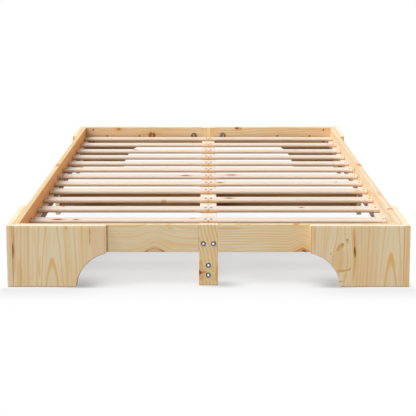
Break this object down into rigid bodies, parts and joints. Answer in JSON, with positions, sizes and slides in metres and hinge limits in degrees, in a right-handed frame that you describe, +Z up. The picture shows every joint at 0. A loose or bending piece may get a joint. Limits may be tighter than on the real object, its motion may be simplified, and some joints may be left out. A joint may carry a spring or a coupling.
{
  "type": "platform bed frame",
  "caption": "Low solid-pine platform bed frame with arched corner feet, middle legs, a lower cross of beams and half-length slats screwed over a centre strip.",
  "frame": {"origin": "on the floor, under the middle of the bed", "axes": "+Z up; +Y along the length, towards the head end; +X to the right, seen from the foot end"},
  "size_m": [1.28, 2.082, 0.2],
  "materials": {
    "frame_pine": "clear-oiled planed pine",
    "slat_pine": "bare sanded pine",
    "hidden_pine": "bare planed pine",
    "bright_steel": "bright nickel plate",
    "zinc_steel": "blue zinc plate",
    "beech": "fluted dowel, bare beech"
  },
  "bodies": {
    "root": {"end_plate_front_left": "frame_pine", "end_plate_front_right": "frame_pine", "end_plate_rear_left": "frame_pine", "end_plate_rear_right": "frame_pine", "side_plate_front_left": "frame_pine", "side_plate_front_right": "frame_pine", "side_plate_rear_left": "frame_pine", "side_plate_rear_right": "frame_pine", "end_rail_front_left": "frame_pine", "end_rail_front_right": "frame_pine", "end_rail_rear_left": "frame_pine", "end_rail_rear_right": "frame_pine", "side_rail_front_left": "frame_pine", "side_rail_front_right": "frame_pine", "side_rail_rear_left": "frame_pine", "side_rail_rear_right": "frame_pine", "middle_leg_front": "frame_pine", "middle_leg_rear": "frame_pine", "middle_leg_left": "frame_pine", "middle_leg_right": "frame_pine", "ledger_left": "hidden_pine", "ledger_right": "hidden_pine", "long_beam": "hidden_pine", "cross_beam": "hidden_pine", "strip_supports": "hidden_pine", "slat_1_left": "slat_pine", "slat_1_right": "slat_pine", "slat_2_left": "slat_pine", "slat_2_right": "slat_pine", "slat_3_left": "slat_pine", "slat_3_right": "slat_pine", "slat_4_left": "slat_pine", "slat_4_right": "slat_pine", "slat_5_left": "slat_pine", "slat_5_right": "slat_pine", "slat_6_left": "slat_pine", "slat_6_right": "slat_pine", "slat_7_left": "slat_pine", "slat_7_right": "slat_pine", "slat_8_left": "slat_pine", "slat_8_right": "slat_pine", "slat_9_left": "slat_pine", "slat_9_right": "slat_pine", "slat_10_left": "slat_pine", "slat_10_right": "slat_pine", "slat_11_left": "slat_pine", "slat_11_right": "slat_pine", "slat_12_left": "slat_pine", "slat_12_right": "slat_pine", "slat_13_left": "slat_pine", "slat_13_right": "slat_pine", "centre_strip": "slat_pine", "carriage_bolts": "bright_steel", "wood_screws": "zinc_steel", "ledger_screws": "zinc_steel", "barrel_nuts": "zinc_steel", "joint_rods": "zinc_steel", "joint_nuts": "zinc_steel", "joint_washers": "zinc_steel", "corner_dowels": "beech"}
  },
  "joints": []
}
